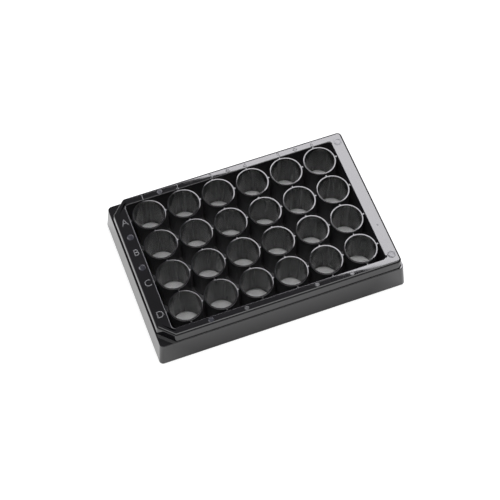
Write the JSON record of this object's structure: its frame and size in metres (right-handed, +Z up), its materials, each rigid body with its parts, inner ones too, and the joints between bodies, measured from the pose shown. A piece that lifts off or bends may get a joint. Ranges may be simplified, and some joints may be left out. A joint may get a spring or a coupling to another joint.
{
  "type": "well plate",
  "caption": "Black culture plate: a grid of open round wells in a sunk basin, flat border with cut corners, ledge for a lid, leaning skirt and a clear bottom sheet.",
  "frame": {"origin": "middle of the footprint, on the surface the plate stands on", "axes": "+X from column 1 to the last column, +Y from the last row to row A, +Z up"},
  "size_m": [0.1278, 0.0854, 0.0208],
  "materials": {
    "black_moulding": "glossy black polystyrene",
    "clear_bottom": "clear polystyrene",
    "moulded_marks": "raised letters and numerals, worn to a grey sheen"
  },
  "bodies": {
    "root": {"plate_body": "black_moulding", "bottom_sheet": "clear_bottom"}
  },
  "joints": []
}
